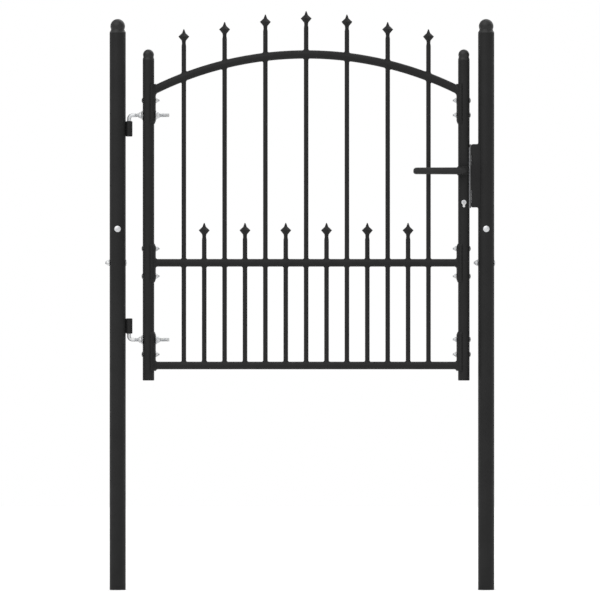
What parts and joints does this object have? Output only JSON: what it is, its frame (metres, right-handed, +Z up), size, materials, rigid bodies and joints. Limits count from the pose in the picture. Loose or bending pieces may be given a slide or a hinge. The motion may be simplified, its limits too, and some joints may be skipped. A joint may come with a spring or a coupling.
{
  "type": "garden gate",
  "caption": "Arched garden gate of round steel tube with spear-headed pickets, two ball-capped posts, adjustable L-bolt hinges and a lever lock with its keep.",
  "frame": {"origin": "midway between the centres of the two post feet, at their lower ends", "axes": "+Z up, X along the closed leaf from the hinge post at -X to the lock post at +X, -Y to the front where the cylinder and lever are seen"},
  "size_m": [1.0141, 0.1104, 1.5047],
  "materials": {
    "black_paint": "matt black powder coat with a fine orange-peel grain",
    "black_plastic": "satin black moulded plastic",
    "lever_black": "satin black coated die casting",
    "zinc": "bright zinc plating",
    "stainless": "satin stainless steel, brushed along its length",
    "case_steel": "plain galvanised sheet"
  },
  "bodies": {
    "posts": {"hinge_post": "black_paint", "lock_post": "black_paint", "upper_hinge_barrel": "black_paint", "lower_hinge_barrel": "black_paint", "strike_keep": "black_paint", "hinge_post_ball_cap": "black_plastic", "lock_post_ball_cap": "black_plastic", "hinge_post_front_bolt": "zinc", "hinge_post_side_bolt": "zinc", "lock_post_front_bolt": "zinc", "lock_post_side_bolt": "zinc"},
    "leaf": {"hinge_stile": "black_paint", "lock_stile": "black_paint", "bottom_rail": "black_paint", "mid_rail": "black_paint", "arch_rail": "black_paint", "hinge_top_saddle": "black_paint", "hinge_mid_saddle": "black_paint", "hinge_bottom_saddle": "black_paint", "lock_top_saddle": "black_paint", "lock_mid_saddle": "black_paint", "lock_bottom_saddle": "black_paint", "long_picket_1": "black_paint", "long_picket_2": "black_paint", "long_picket_3": "black_paint", "long_picket_4": "black_paint", "long_picket_5": "black_paint", "long_picket_6": "black_paint", "long_picket_7": "black_paint", "short_picket_1": "black_paint", "short_picket_2": "black_paint", "short_picket_3": "black_paint", "short_picket_4": "black_paint", "short_picket_5": "black_paint", "short_picket_6": "black_paint", "hinge_stile_ball_cap": "black_plastic", "lock_stile_ball_cap": "black_plastic", "front_rose": "lever_black", "back_rose": "lever_black", "hinge_saddle_bolt_1": "zinc", "hinge_saddle_bolt_2": "zinc", "hinge_saddle_bolt_3": "zinc", "hinge_saddle_bolt_4": "zinc", "lock_saddle_bolt_1": "zinc", "lock_saddle_bolt_2": "zinc", "lock_saddle_bolt_3": "zinc", "lock_saddle_bolt_4": "zinc", "lock_saddle_bolt_5": "zinc", "lock_saddle_bolt_6": "zinc", "upper_hinge_bolt": "zinc", "lower_hinge_bolt": "zinc", "lock_cylinder": "zinc", "lock_case": "case_steel", "lock_forend": "stainless"},
    "lever": {"front_lever": "lever_black", "back_lever": "lever_black", "lever_spindle": "case_steel"},
    "latch": {"latch_bolt": "zinc"},
    "deadbolt": {"deadbolt": "zinc"},
    "cylinder_plug": {"cylinder_plug": "zinc"}
  },
  "joints": [
    {"name": "leaf_swing", "type": "hinge", "parent": "posts", "child": "leaf", "pos_m": [-0.4493, 0, 0.94], "axis": [0, 0, 1], "range_deg": [-110, 110]},
    {"name": "lever_turn", "type": "hinge", "parent": "leaf", "child": "lever", "pos_m": [0.421, 0, 1.089], "axis": [0, -1, 0], "range_deg": [0, 40], "stiffness_Nm_per_rad": 1.5, "springref_deg": -22.92},
    {"name": "latch_slide", "type": "slide", "parent": "leaf", "child": "latch", "axis": [-1, 0, 0], "range_m": [0, 0.011]},
    {"name": "key_turn", "type": "hinge", "parent": "leaf", "child": "cylinder_plug", "pos_m": [0.421, 0, 1.007], "axis": [0, 1, 0], "range_deg": [0, 180]},
    {"name": "deadbolt_slide", "type": "slide", "parent": "leaf", "child": "deadbolt", "axis": [1, 0, 0], "range_m": [0, 0.0141]}
  ],
  "couplings": [
    {"joint": "latch_slide", "follows": "lever_turn", "m_per_rad": 0.01575},
    {"joint": "key_turn", "follows": "deadbolt_slide", "rad_per_m": 222.8}
  ]
}
